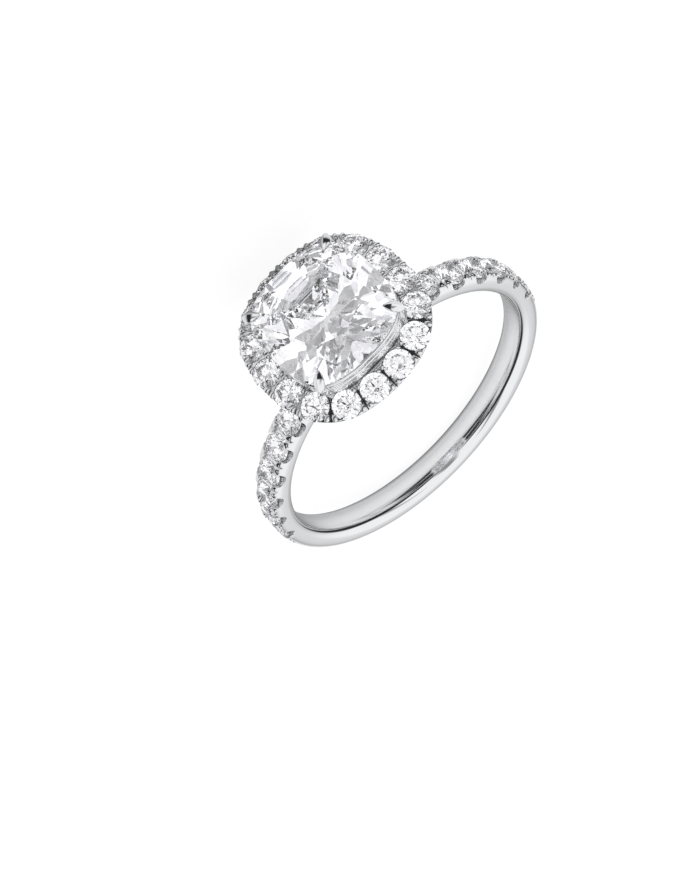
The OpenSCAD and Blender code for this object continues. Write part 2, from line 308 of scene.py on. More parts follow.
def groove_solid(long, across_r, up_r):
    """A three sided bar along X, with one side upright and its lowest edge at zero"""
    bm = bmesh.new()
    bmesh.ops.create_cone(
        bm, cap_ends=True, segments=3, radius1=1, radius2=1, depth=long,
        matrix=Matrix.Rotation(math.pi / 2, 4, "Y"),
    )
    low = min(v.co.z for v in bm.verts)
    bmesh.ops.translate(bm, vec=(0, 0, -low), verts=bm.verts)
    # The three edges lie on an oval with these two radii
    bmesh.ops.scale(bm, vec=(1, across_r, up_r), verts=bm.verts)
    return bm


def bead_solid(r, foot, top):
    """A short rod with a round end"""
    angles = [math.radians(degrees) for degrees in range(0, 90, 15)]
    dome = [(r * math.cos(a), top + r * math.sin(a)) for a in angles]
    return round_solid([(0, -foot), (r, -foot), *dome, (0, top + r)], BEAD_STEPS)


def add_copy(target, source, matrix):
    """Adds a mesh to another, moved by a matrix"""
    copy = source.copy()
    bmesh.ops.transform(copy, matrix=matrix, verts=copy.verts)
    carrier = bpy.data.meshes.new("carrier")
    copy.to_mesh(carrier)
    copy.free()
    target.from_mesh(carrier)
    bpy.data.meshes.remove(carrier)


def at_each(source, places):
    """One mesh with a copy of a solid at each place"""
    bm = bmesh.new()
    for place in places:
        add_copy(bm, source, place)
    source.free()
    return bm


def as_object(bm, name):
    """A linked object that holds a mesh"""
    mesh = bpy.data.meshes.new(name)
    bm.to_mesh(mesh)
    obj = bpy.data.objects.new(name, mesh)
    bpy.context.scene.collection.objects.link(obj)
    return obj


def carved(bm, cutters):
    """What is left of a solid once each cutter in turn is taken away"""
    body = as_object(bm, "carved_body")
    tools = []
    for cutter in cutters:
        tool = as_object(cutter, "carving_tool")
        tools.append(tool)
        carve = body.modifiers.new("carve", "BOOLEAN")
        carve.operation = "DIFFERENCE"
        carve.object = tool
        carve.solver = "MANIFOLD"
        cutter.free()
    bpy.context.view_layer.update()
    shown = body.evaluated_get(bpy.context.evaluated_depsgraph_get())
    result = bmesh.new()
    result.from_mesh(shown.to_mesh())
    shown.to_mesh_clear()
    for obj in [body, *tools]:
        mesh = obj.data
        bpy.data.objects.remove(obj)
        bpy.data.meshes.remove(mesh)
    if not result.faces:
        raise RuntimeError("a carving left nothing of its solid")
    bm.free()
    return result


class Number:
    """A number in a shader: arithmetic on it adds Math nodes"""

    def __init__(self, shader, socket):
        self.shader = shader
        self.socket = socket

    def __add__(self, other):
        return self.shader.math("ADD", self, other)

    __radd__ = __add__

    def __mul__(self, other):
        return self.shader.math("MULTIPLY", self, other)

    __rmul__ = __mul__

    def __sub__(self, other):
        return self.shader.math("SUBTRACT", self, other)

    def __rsub__(self, other):
        return self.shader.math("SUBTRACT", other, self)


class Shader:
    """The nodes of one material or world"""

    def __init__(self, owner):
        owner.use_nodes = True
        self.tree = owner.node_tree
        self.tree.nodes.clear()

    def add(self, kind, settings=None, inputs=None):
        """A node of a type, with its settings first and then its sockets' values or links"""
        node = self.tree.nodes.new(kind)
        for name, value in (settings or {}).items():
            setattr(node, name, value)
        for name, value in (inputs or {}).items():
            value = getattr(value, "socket", value)
            if isinstance(value, bpy.types.NodeSocket):
                self.tree.links.new(value, node.inputs[name])
            else:
                node.inputs[name].default_value = value
        return node

    def noise(self, scale, detail, where=None):
        """A noise from 0 to 1, with its scale in waves to a metre, or to a unit of where"""
        where = where or self.add("ShaderNodeTexCoord").outputs["Object"]
        node = self.add("ShaderNodeTexNoise", None, {"Vector": where, "Scale": scale, "Detail": detail})
        return Number(self, node.outputs["Fac"])

    def open_air(self, distance, samples):
        """How open the space round a point is, from 0 in a deep corner to 1"""
        node = self.add("ShaderNodeAmbientOcclusion", {"samples": samples}, {"Distance": distance})
        return Number(self, node.outputs["AO"])

    def math(self, operation, *numbers):
        """A number from a Math node"""
        node = self.add("ShaderNodeMath", {"operation": operation}, dict(enumerate(numbers)))
        return Number(self, node.outputs[0])

    def ramp(self, number, low, high):
        """A smooth step from 0 at low to 1 at high"""
        node = self.add("ShaderNodeMapRange", {"interpolation_type": "SMOOTHSTEP"}, {
            "Value": number, "From Min": low, "From Max": high,
        })
        return Number(self, node.outputs[0])

    def blend(self, factor, first, second):
        """A mix of two colours, whose sockets have numbers because a Mix node repeats their names"""
        node = self.add("ShaderNodeMix", {"data_type": "RGBA"}, {0: factor, 6: first, 7: second})
        return node.outputs[2]

    def surface(self, inputs):
        """Ends a material in a Principled surface"""
        node = self.add("ShaderNodeBsdfPrincipled", None, inputs)
        self.add("ShaderNodeOutputMaterial", None, {"Surface": node.outputs[0]})


def opaque(rgb):
    """A colour with its alpha"""
    return (*rgb, 1)


def darker(rgb, by):
    """A colour made darker by a share"""
    return opaque([c * (1 - by) for c in rgb])


# The haze of the polish: waves to a metre, and how much darker it makes the metal
HAZE_WAVES = 900
HAZE_SHADE = 0.05
# Hairlines: waves to a metre, and how strongly and how deep they are cut
HAIRLINE_WAVES = 26000
HAIRLINE_STRENGTH = 0.006
HAIRLINE_DEPTH = 0.01 * MM
# What the even polish, the haze and the hairlines each add to the roughness
ROUGH_SHARES = (0.6, 0.6, 0.2)
# Painted shade in recesses: how far round a point a recess is looked for, and the range of open air over
# which the metal is painted darker
PAINTED_SHADE_REACH = 0.3 * MM
PAINTED_SHADE_RANGE = (0.15, 0.75)


def polished_metal(finish):
    """White metal with the soft haze and hairlines that polishing leaves, and painted shade in its recesses
    """
    material = bpy.data.materials.new(METAL_NAME)
    shader = Shader(material)
    where = shader.add("ShaderNodeTexCoord").outputs["Object"]
    haze = shader.noise(HAZE_WAVES, detail=3, where=where)
    hairlines = shader.noise(HAIRLINE_WAVES, detail=2, where=where)
    # Painted shade: the metal's colour is made darker where ambient occlusion finds a recess or corner
    clear_of_painted_shade = shader.ramp(shader.open_air(PAINTED_SHADE_REACH, samples=4), *PAINTED_SHADE_RANGE)
    tone = shader.blend(haze, opaque(finish.metal), darker(finish.metal, HAZE_SHADE))
    tone = shader.blend(clear_of_painted_shade, darker(finish.metal, finish.painted_recess_shade), tone)
    even, by_haze, by_hairlines = [finish.metal_roughness * part for part in ROUGH_SHARES]
    relief = shader.add("ShaderNodeBump", None, {
        "Strength": HAIRLINE_STRENGTH, "Distance": HAIRLINE_DEPTH, "Height": hairlines,
    })
    shader.surface({
        "Base Color": tone, "Metallic": 1.0, "Roughness": even + by_haze * haze + by_hairlines * hairlines,
        "Normal": relief.outputs[0],
    })
    material.diffuse_color = opaque(finish.metal)
    return material


# Waves to a metre of the faint clouds in a stone
CLOUD_WAVES = 700


def cut_diamond(name, rgb, tint, ior):
    """Clear stone with a faint change of tint through it"""
    material = bpy.data.materials.new(name)
    shader = Shader(material)
    tone = shader.blend(shader.noise(CLOUD_WAVES, detail=2), opaque(rgb), opaque(tint))
    shader.surface({"Base Color": tone, "Roughness": 0.0, "IOR": ior, "Transmission Weight": 1.0})
    material.diffuse_color = opaque(rgb)
    return material


def finish_piece(name, bm, material, node, crease):
    """Lays a mesh down and makes it a piece of the ring. Without a crease angle it stays faceted"""
    bmesh.ops.remove_doubles(bm, verts=bm.verts, dist=TINY)
    bmesh.ops.dissolve_degenerate(bm, edges=bm.edges, dist=TINY)
    bmesh.ops.recalc_face_normals(bm, faces=bm.faces)
    bmesh.ops.transform(bm, matrix=lay_down(), verts=bm.verts)
    obj = as_object(bm, name)
    bm.free()
    mesh = obj.data
    mesh.polygons.foreach_set("use_smooth", [crease > 0] * len(mesh.polygons))
    if crease > 0:
        mesh.set_sharp_from_angle(angle=crease)
    mesh.materials.append(material)
    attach(obj, ROOT)
    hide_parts(node)


def finish_metal(context, name, bm, crease=CAST_EDGE):
    """Finishes a piece of the ring's metal, which is one material for all of them"""
    material = bpy.data.materials.get(METAL_NAME) or polished_metal(context.scene.ring_finish)
    finish_piece(name, bm, material, METAL_NODE, crease)


class RING_OT_shank(bpy.types.Operator):
    """Build the polished shank with its seats and side notches"""

    bl_idname = "ring.shank"
    bl_label = "Shank"

    # Shares of the bottom's thickness that the rounded outside and the flared inside take up
    RIM = 0.5
    FLARE = 0.4
    # How far the middle of the inner wall stands in from the edges of its straight part
    DOME = 0.06 * MM
    DOME_STEPS = 6
    # The notches beside the stones: a round bar, its height above the girdles, and the width of
    # the block that opens it to the outside in radii of the bar
    NOTCH_R = 0.5 * MM
    NOTCH_HIGH = 0.16 * MM
    NOTCH_MOUTH = 1.92
    # The channel over the stones: its floor above the girdles, and its width in a stone's radii
    CHANNEL_HIGH = 0.05 * MM
    CHANNEL_WIDE = 1.2
    CHANNEL_STEPS = 48
    # Radii across and up of the three sided cuts between the stones
    CUT = (0.21 * MM, 0.42 * MM)

    def band(self, shape, steps):
        """The band before it is cut: rounded outside, flared finger hole"""
        sizes = shape.sizes
        rim_h = self.RIM * sizes.bottom_t
        flare_h = self.FLARE * sizes.bottom_t
        flat = sizes.flat_w / 2
        half = []
        for k in range(self.DOME_STEPS):
            rise = self.DOME * (k / self.DOME_STEPS) ** 2
            half.append((sizes.hole_r + rise, flat * k / self.DOME_STEPS))
        for degrees in range(0, 91, 9):
            a = math.radians(degrees)
            rise = self.DOME + (flare_h - self.DOME) * (1 - math.cos(a))
            half.append((sizes.hole_r + rise, flat + (shape.half_w - flat) * math.sin(a)))
        for degrees in range(0, 90, 6):
            a = math.radians(degrees)
            wide = math.cos(a) ** (2 / sizes.shank_power)
            high = math.sin(a) ** (2 / sizes.shank_power)
            half.append((shape.outer_r - rim_h * (1 - high), shape.half_w * wide))
        half.append((shape.outer_r, 0))
        section = half + [(r, -y) for r, y in reversed(half[1:-1])]
        bm = turned(outline([(r, y, 0) for r, y in section]), steps, (0, 1, 0))
        middle = shape.outer_r - rim_h - TINY
        outside = [v for v in bm.verts if math.hypot(v.co.x, v.co.z) > middle]
        bmesh.ops.translate(bm, vec=(0, 0, shape.outer_shift), verts=outside)
        return bm

    def channel(self, shape):
        """What lies over the girdles on one shoulder, from the first stone to the last"""
        sizes = shape.sizes
        ends = []
        for step in (0, PER_SHOULDER - 1):
            a = sizes.shoulder_start + step * sizes.shoulder_step
            r = shape.shank_r(a)
            ends.append(math.atan2(r * math.sin(a), r * math.cos(a) - shape.outer_shift))
        low = shape.outer_r - sizes.shoulder_sink + self.CHANNEL_HIGH
        half = self.CHANNEL_WIDE * shape.shoulder_r / 2
        start = Matrix.Rotation(ends[0], 3, "Y")
        corners = [(-half, low), (half, low), (half, low + OVER), (-half, low + OVER)]
        bm = outline([start @ Vector((0, y, z)) for y, z in corners])
        bmesh.ops.spin(
            bm, geom=bm.verts[:] + bm.edges[:], cent=(0, 0, 0), axis=(0, 1, 0),
            angle=ends[1] - ends[0], steps=self.CHANNEL_STEPS,
        )
        bmesh.ops.holes_fill(bm, edges=[e for e in bm.edges if e.is_boundary])
        bmesh.ops.translate(bm, vec=(0, 0, shape.outer_shift), verts=bm.verts)
        bmesh.ops.recalc_face_normals(bm, faces=bm.faces)
        return bm

    def notch(self, wide):
        """The round bar along Y that makes a notch"""
        bm = bmesh.new()
        bmesh.ops.create_cone(
            bm, cap_ends=True, segments=SEAT_STEPS, radius1=self.NOTCH_R, radius2=self.NOTCH_R,
            depth=wide, matrix=Matrix.Rotation(math.pi / 2, 4, "X"),
        )
        return bm

    def mouth(self, wide):
        """The block along Y that opens a notch to the outside"""
        bm = bmesh.new()
        size = Matrix.Diagonal((self.NOTCH_MOUTH * self.NOTCH_R, wide, OVER, 1))
        bmesh.ops.create_cube(bm, size=1, matrix=Matrix.Translation((0, 0, OVER / 2)) @ size)
        return bm

    def execute(self, context):
        shape = Shape(context.scene.ring_sizes)
        wide = shape.sizes.shank_w + OVER
        stones = [(side, step) for side in (1, -1) for step in range(PER_SHOULDER)]
        seats = [shape.shoulder_place(side, step) for side, step in stones]
        notches = [seat @ Matrix.Translation((0, 0, self.NOTCH_HIGH)) for seat in seats]
        across = Matrix.Rotation(math.pi / 2, 4, "Z")
        cuts = [shape.shoulder_place(side, step - 0.5) @ across for side, step in stones]
        sides = [Matrix.Identity(4), Matrix.Rotation(math.pi, 4, "Z")]
        body = carved(self.band(shape, context.scene.ring_studio.detail), [
            at_each(self.channel(shape), sides),
            at_each(seat_solid(shape.shoulder_r), seats),
            at_each(self.notch(wide), notches),
            at_each(self.mouth(wide), notches),
            at_each(groove_solid(wide, *self.CUT), cuts),
        ])
        finish_metal(context, "shank", body, CUT_EDGE)
        return {"FINISHED"}


class RING_OT_shoulder_beads(bpy.types.Operator):
    """Build the split beads that hold the shoulder stones"""

    bl_idname = "ring.shoulder_beads"
    bl_label = "Shoulder beads"

    OUT = 0.69 * MM
    APART = 0.2 * MM
    LEAN = math.radians(16)
    BEAD_R = 0.175 * MM
    TOP = 0.06 * MM
    FOOT = 0.4 * MM
    # The last beads stand this share of a step past the last stone
    END = 0.56

    def execute(self, context):
        shape = Shape(context.scene.ring_sizes)
        between = [k - 0.5 for k in range(PER_SHOULDER)]
        bead = bead_solid(self.BEAD_R, self.FOOT, self.TOP)
        bm = bmesh.new()
        for side in (-1, 1):
            for step in [*between, PER_SHOULDER - 1 + self.END]:
                place = shape.shoulder_place(side, step)
                for edge in (-1, 1):
                    for split in (-1, 1):
                        at = Matrix.Translation((split * self.APART, edge * self.OUT, 0))
                        add_copy(bm, bead, place @ at @ Matrix.Rotation(self.LEAN * split, 4, "Y"))
        bead.free()
        finish_metal(context, "shoulder_beads", bm)
        return {"FINISHED"}


class RING_OT_halo(bpy.types.Operator):
    """Build the halo band, cut with a seat for each stone and split between them"""

    bl_idname = "ring.halo"
    bl_label = "Halo"

    # The band's section, measured from the halo's middle line: out is away from the centre stone
    TOP = 0.04 * MM
    LOW = 0.62 * MM
    OUT = 0.79 * MM
    LOW_OUT = 0.6 * MM
    IN = 0.97 * MM
    # Bevels of the two upper edges: how far in they reach, and their foot below the middle line
    OUT_BEVEL = (0.05 * MM, 0.12 * MM)
    IN_BEVEL = (0.1 * MM, 0.1 * MM)
    CORNER_R = 0.03 * MM
    STEPS = 320
    DRILL_R = 0.34 * MM
    # The three sided cuts between the stones: the middle of their lower edge, how far it falls
    # outwards, their length, and their radii across and up
    CUT_AT = (0.5 * MM, 0, -0.02 * MM)
    CUT_FALL = math.radians(24)
    CUT_LONG = 1.4 * MM
    CUT = (0.08 * MM, 0.24 * MM)

    def band(self, shape):
        """The band before it is cut, bent to the halo's outline"""
        out_in, out_down = self.OUT_BEVEL
        in_out, in_down = self.IN_BEVEL
        section = [
            (self.OUT, -out_down), (self.OUT - out_in, self.TOP), (in_out - self.IN, self.TOP),
            (-self.IN, -in_down), (-self.IN, -self.LOW), (self.LOW_OUT, -self.LOW),
        ]
        middle = shape.halo_len / (2 * math.pi)
        ring = ring_solid([(middle + x, z) for x, z in section], self.STEPS, self.CORNER_R, corner_steps=2)
        for v in ring.verts:
            along = math.atan2(v.co.y, v.co.x) % (2 * math.pi) * middle
            out = math.hypot(v.co.x, v.co.y) - middle
            v.co = shape.halo_place(along % shape.halo_len) @ Vector((out, 0, v.co.z))
        bmesh.ops.recalc_face_normals(ring, faces=ring.faces)
        return ring

    def execute(self, context):
        shape = Shape(context.scene.ring_sizes)
        seats = [shape.halo_place((i + 0.5) * shape.halo_pitch) for i in range(HALO_COUNT)]
        between = [shape.halo_place(i * shape.halo_pitch) for i in range(HALO_COUNT)]
        cut = Matrix.Translation(self.CUT_AT) @ Matrix.Rotation(self.CUT_FALL, 4, "Y")
        body = carved(self.band(shape), [
            at_each(seat_solid(shape.halo_r, self.DRILL_R, self.LOW + OVER), seats),
            at_each(groove_solid(self.CUT_LONG, *self.CUT), [place @ cut for place in between]),
        ])
        finish_metal(context, "halo", body, CUT_EDGE)
        return {"FINISHED"}


class RING_OT_halo_beads(bpy.types.Operator):
    """Build the beads that hold the halo stones, in pairs outside and inside"""

    bl_idname = "ring.halo_beads"
    bl_label = "Halo beads"

    # Each row of pairs: its distance outwards, half the gap in a pair, a bead's radius and height
    ROWS = [(0.56, 0.21, 0.16, 0.06), (-0.6, 0.16, 0.14, 0.06)]
    FOOT = 0.2 * MM
    # How far a pair is turned in, and how much longer than wide its beads are
    TURNED_IN = math.radians(20)
    LONG = 1.4

    def execute(self, context):
        shape = Shape(context.scene.ring_sizes)
        bm = bmesh.new()
        long = Matrix.Diagonal((self.LONG, 1, 1, 1))
        for row in self.ROWS:
            out, apart, r, top = [size * MM for size in row]
            bead = bead_solid(r, self.FOOT, top)
            for i in range(HALO_COUNT):
                # A claw stands in the way of the inner pair at each corner
                if out < 0 and i % PER_SIDE == PER_SIDE // 2:
                    continue
                place = shape.halo_place(i * shape.halo_pitch)
                for split in (-1, 1):
                    at = Matrix.Translation((out, split * apart, 0))
                    turn = Matrix.Rotation(self.TURNED_IN * split * math.copysign(1, out), 4, "Z")
                    add_copy(bm, bead, place @ at @ turn @ long)
            bead.free()
        finish_metal(context, "halo_beads", bm)
        return {"FINISHED"}


class RING_OT_gallery(bpy.types.Operator):
    """Build the rails under the centre stone, the lower rail and its posts"""

    bl_idname = "ring.gallery"
    bl_label = "Gallery"

    STEPS = 192
    # A rail is made as a plain ring of this radius, and bent to the cushion outline
    PLAIN_R = 5 * MM
    CORNER_R = 0.12 * MM
    LOWER_HALF = 2.08 * MM
    LOWER_T = 0.42 * MM
    POST_X = 1.7 * MM
    POST_R = 0.45 * MM
    POST_STEPS = 32

    def rail(self, shape, half, inset, wall, low, high):
        """A ring of metal that follows the cushion outline"""
        outer = self.PLAIN_R - inset
        inner = outer - wall
        section = [(outer, low), (outer, high), (inner, high), (inner, low)]
        bm = ring_solid(section, self.STEPS, self.CORNER_R, corner_steps=4)
        for v in bm.verts:
            a = math.atan2(v.co.y, v.co.x)
            out = math.hypot(v.co.x, v.co.y) - self.PLAIN_R
            r = shape.outline_r(a) * half / shape.centre_half + out
            v.co = Vector((r * math.cos(a), r * math.sin(a), v.co.z))
        return bm

    def execute(self, context):
        shape = Shape(context.scene.ring_sizes)
        z, half = shape.centre_z, shape.centre_half
        lower_r = self.LOWER_T / 2
        # Each rail: its outline's half width, its inset from there, its wall, its low and high edge
        rails = [
            (half, 0.02 * MM, 0.27 * MM, z - 0.72 * MM, z - 0.28 * MM),
            (half, 0.06 * MM, 0.34 * MM, z - 1.5 * MM, z - 0.78 * MM),
            (half, 0.2 * MM, 0.26 * MM, shape.halo_z - 0.7 * MM, z - 1.4 * MM),
            (self.LOWER_HALF, 0, self.LOWER_T, shape.foot_z - lower_r, shape.foot_z + lower_r),
        ]
        bm = bmesh.new()
        for row in rails:
            rail = self.rail(shape, *row)
            add_copy(bm, rail, Matrix.Identity(4))
            rail.free()
        low, high = shape.sizes.hole_r + shape.sizes.bottom_t / 2, shape.foot_z
        section = [(0, low), (self.POST_R, low), (self.POST_R, high), (0, high)]
        post = round_solid(section, self.POST_STEPS)
        for side in (-1, 1):
            add_copy(bm, post, Matrix.Translation((side * self.POST_X, 0, 0)))
        post.free()
        finish_metal(context, "gallery", bm)
        return {"FINISHED"}


class RING_OT_claws(bpy.types.Operator):
    """Build the four ridged claws over the corners of the centre stone"""

    bl_idname = "ring.claws"
    bl_label = "Claws"

    # The section is round, with a ridge outside: where it starts, how far out it comes, both in
    # radii, and the power that rounds its two sides
    RIDGE_START = (0.5, 0.866)
    RIDGE = 1.28
    RIDGE_POWER = 1.35
    SECTION_STEPS = 24
    STEPS = 14
    KNEE_STEPS = 8
    TIP_STEPS = 8
    EDGE = math.radians(30)

    FOOT_X = 2.1 * MM
    # How far the knee lies inside the halo's corner, and how far below the halo's girdles
    KNEE = (1.02 * MM, 0.35 * MM)
    # How far the elbow lies outside the stone's corner, and how far above its girdle
    ELBOW = (0.14 * MM, 0.12 * MM)
    TIP_RISE = 0.1 * MM
    STEM_R = 0.27 * MM
    TIP_R = 0.05 * MM
    # Shares of the stem and of the leg above it between which the knee is bent
    KNEE_BEND = (0.8, 0.3)
    # The elbow's bend: its length below, its share of the way to the tip, and how far its middle
    # is drawn that way
    ELBOW_LOW = 0.45 * MM
    ELBOW_HIGH = 0.3
    ELBOW_DRAW = 0.08
    # The power by which a claw thins from there to its tip
    TAPER = 1.7

    def path(self, shape):
        """Points from the foot to the tip, each with the claw's thickness there"""
        sizes = shape.sizes
        crown_slope = sizes.centre_crown / (shape.corner_d * (1 - sizes.centre_table))
        foot = Vector((self.FOOT_X, 0, shape.foot_z))
        knee = Vector((sizes.halo_corner - self.KNEE[0], 0, shape.halo_z - self.KNEE[1]))
        elbow = Vector((shape.corner_d + self.ELBOW[0], 0, shape.crown_z + self.ELBOW[1]))
        tip_z = shape.crown_z + crown_slope * sizes.claw_reach + self.TIP_RISE
        tip = Vector((shape.corner_d - sizes.claw_reach, 0, tip_z))
        below, above = self.KNEE_BEND
        corner = interpolate_bezier(
            foot.lerp(knee, below), knee, knee, knee.lerp(elbow, above), self.KNEE_STEPS
        )
        before = elbow - (elbow - knee).normalized() * self.ELBOW_LOW
        after = elbow + (tip - elbow) * self.ELBOW_HIGH
        drawn = elbow + (tip - elbow) * self.ELBOW_DRAW
        bend = interpolate_bezier(before, elbow, drawn, after, self.STEPS)
        elbow_r = sizes.claw_d / 2
        points = [(p, self.STEM_R) for p in [foot, *corner]]
        points += [(p, elbow_r) for p in bend]
        for k in range(1, self.TIP_STEPS + 1):
            t = k / self.TIP_STEPS
            points.append((after.lerp(tip, t), elbow_r + (self.TIP_R - elbow_r) * t**self.TAPER))
        return points

    def claw(self, shape):
        """One claw in the XZ plane"""
        bm = bmesh.new()
        points = self.path(shape)
        verts = bmesh.ops.create_circle(
            bm, cap_ends=True, segments=self.SECTION_STEPS, radius=1
        )["verts"]
        start_x, start_y = self.RIDGE_START
        for v in verts:
            if v.co.x > start_x:
                fall = (abs(v.co.y) / start_y) ** self.RIDGE_POWER
                v.co.x = self.RIDGE - (self.RIDGE - start_x) * fall
        edges = bm.edges[:]
        stations = []
        side = Vector((0, 1, 0))
        for k, (point, r) in enumerate(points):
            ahead = points[min(k + 1, len(points) - 1)][0] - points[max(k - 1, 0)][0]
            ahead.normalize()
            turn = Matrix((side.cross(ahead), side, ahead)).transposed().to_4x4()
            stations.append(Matrix.Translation(point) @ turn @ Matrix.Diagonal((r, r, r, 1)))
        bmesh.ops.transform(bm, matrix=stations[0], verts=verts)
        for before, now in zip(stations, stations[1:]):
            made = bmesh.ops.extrude_edge_only(bm, edges=edges)["geom"]
            verts = [g for g in made if isinstance(g, bmesh.types.BMVert)]
            sides = [g for g in made if isinstance(g, bmesh.types.BMEdge)]
            edges = [e for e in sides if all(v in verts for v in e.verts)]
            bmesh.ops.transform(bm, matrix=now @ before.inverted(), verts=verts)
        bmesh.ops.edgeloop_fill(bm, edges=edges)
        bmesh.ops.recalc_face_normals(bm, faces=bm.faces)
        return bm

    def execute(self, context):
        shape = Shape(context.scene.ring_sizes)
        corners = [Matrix.Rotation(math.pi / 4 + k * math.pi / 2, 4, "Z") for k in range(4)]
        notch = centre_cut(shape, 1 + SKIN / shape.corner_d)
        body = carved(at_each(self.claw(shape), corners), [notch])
        finish_metal(context, "claws", body, self.EDGE)
        return {"FINISHED"}


# Each row is a tier of facets: turn from the X axis in eighths, number of facets, how far out on the
# straight line from the girdle to the table or the tip its planes pass, and degrees steeper than it
CROWN_TIERS = [(0, 8, 1.0, 0), (0.25, 16, 1.0, 6), (0.5, 8, 0.7, -12)]
PAVILION_TIERS = [
    (0, 8, 1.0, 0), (0.25, 16, 1.0, 2), (0, 16, 0.8, -0.5), (0.5, 8, 0.62, -2), (0.25, 16, 0.45, -4),
    (0, 8, 0.25, -6),
]
CUSHION_STEPS = 96


def cut_facet(bm, point, normal):
    """Cuts a convex stone with a plane and closes the facet"""
    made = bmesh.ops.bisect_plane(
        bm, geom=bm.verts[:] + bm.edges[:] + bm.faces[:], dist=TINY, plane_co=point,
        plane_no=normal, clear_outer=True,
    )
    rim = [g for g in made["geom_cut"] if isinstance(g, bmesh.types.BMEdge)]
    if len(rim) > 2:
        bmesh.ops.edgeloop_fill(bm, edges=rim)


def cut_tiers(bm, shape, tiers, start_z, height, end):
    """Cuts tiers of facets between the girdle at start_z and the share end of it, a height away"""
    up = Vector((0, 0, 1))
    for turn, count, out, steeper in tiers:
        for k in range(count):
            a = turn * EIGHTH + k * 2 * math.pi / count
            reach = shape.outline_reach(a)
            run = (1 - end) * reach
            slope = math.atan2(abs(height), run) + math.radians(steeper)
            r = end * reach + (out - end) / (1 - end) * run
            z = start_z + height * (1 - out) / (1 - end)
            across = Vector((math.cos(a), math.sin(a), 0))
            normal = across * math.sin(slope) + up * math.copysign(math.cos(slope), height)
            cut_facet(bm, across * r + up * z, normal)


def centre_cut(shape, grow=1.0):
    """The centre stone: a cushion cut in tiers, many of them below its girdle"""
    sizes = shape.sizes
    bm = bmesh.new()
    table_z = sizes.centre_girdle + sizes.centre_crown
    made = bmesh.ops.create_circle(bm, cap_ends=True, segments=CUSHION_STEPS, radius=1)
    for v in made["verts"]:
        a = math.atan2(v.co.y, v.co.x)
        r = shape.outline_r(a)
        v.co = Vector((r * math.cos(a), r * math.sin(a), table_z))
    body = bmesh.ops.extrude_face_region(bm, geom=bm.faces[:])["geom"]
    low = [g for g in body if isinstance(g, bmesh.types.BMVert)]
    bmesh.ops.translate(bm, vec=(0, 0, -table_z - sizes.centre_depth), verts=low)
    bmesh.ops.recalc_face_normals(bm, faces=bm.faces)
    cut_tiers(bm, shape, CROWN_TIERS, sizes.centre_girdle, sizes.centre_crown, sizes.centre_table)
    cut_tiers(bm, shape, PAVILION_TIERS, 0, -sizes.centre_depth, 0)
    scale = Matrix.Diagonal((grow, grow, grow, 1))
    bmesh.ops.transform(bm, matrix=Matrix.Translation((0, 0, shape.centre_z)) @ scale, verts=bm.verts)
    return bm


class RING_OT_centre_stone(bpy.types.Operator):
    """Cut the centre stone"""

    bl_idname = "ring.centre_stone"
    bl_label = "Centre stone"

    def execute(self, context):
        finish = context.scene.ring_finish
        shape = Shape(context.scene.ring_sizes)
        material = cut_diamond("centre_diamond", finish.centre, finish.centre_tint, finish.stone_ior)
        finish_piece("cushion_stone", centre_cut(shape), material, CENTRE_NODE, 0)
        return {"FINISHED"}


class RING_OT_small_stones(bpy.types.Operator):
    """Give the round stones of the halo and the shoulders their finish"""

    bl_idname = "ring.small_stones"
    bl_label = "Small stones"

    def execute(self, context):
        finish = context.scene.ring_finish
        material = cut_diamond("small_diamond", finish.small, finish.small_tint, finish.stone_ior)
        rows = [("halo_stone_", HALO_COUNT), ("shoulder_stone_", SHOULDER_COUNT)]
        for prefix, count in rows:
            for i in range(1, count + 1):
                stone = frame["nodes"][prefix + str(i)]
                stone.data.materials.clear()
                stone.data.materials.append(material)
        return {"FINISHED"}


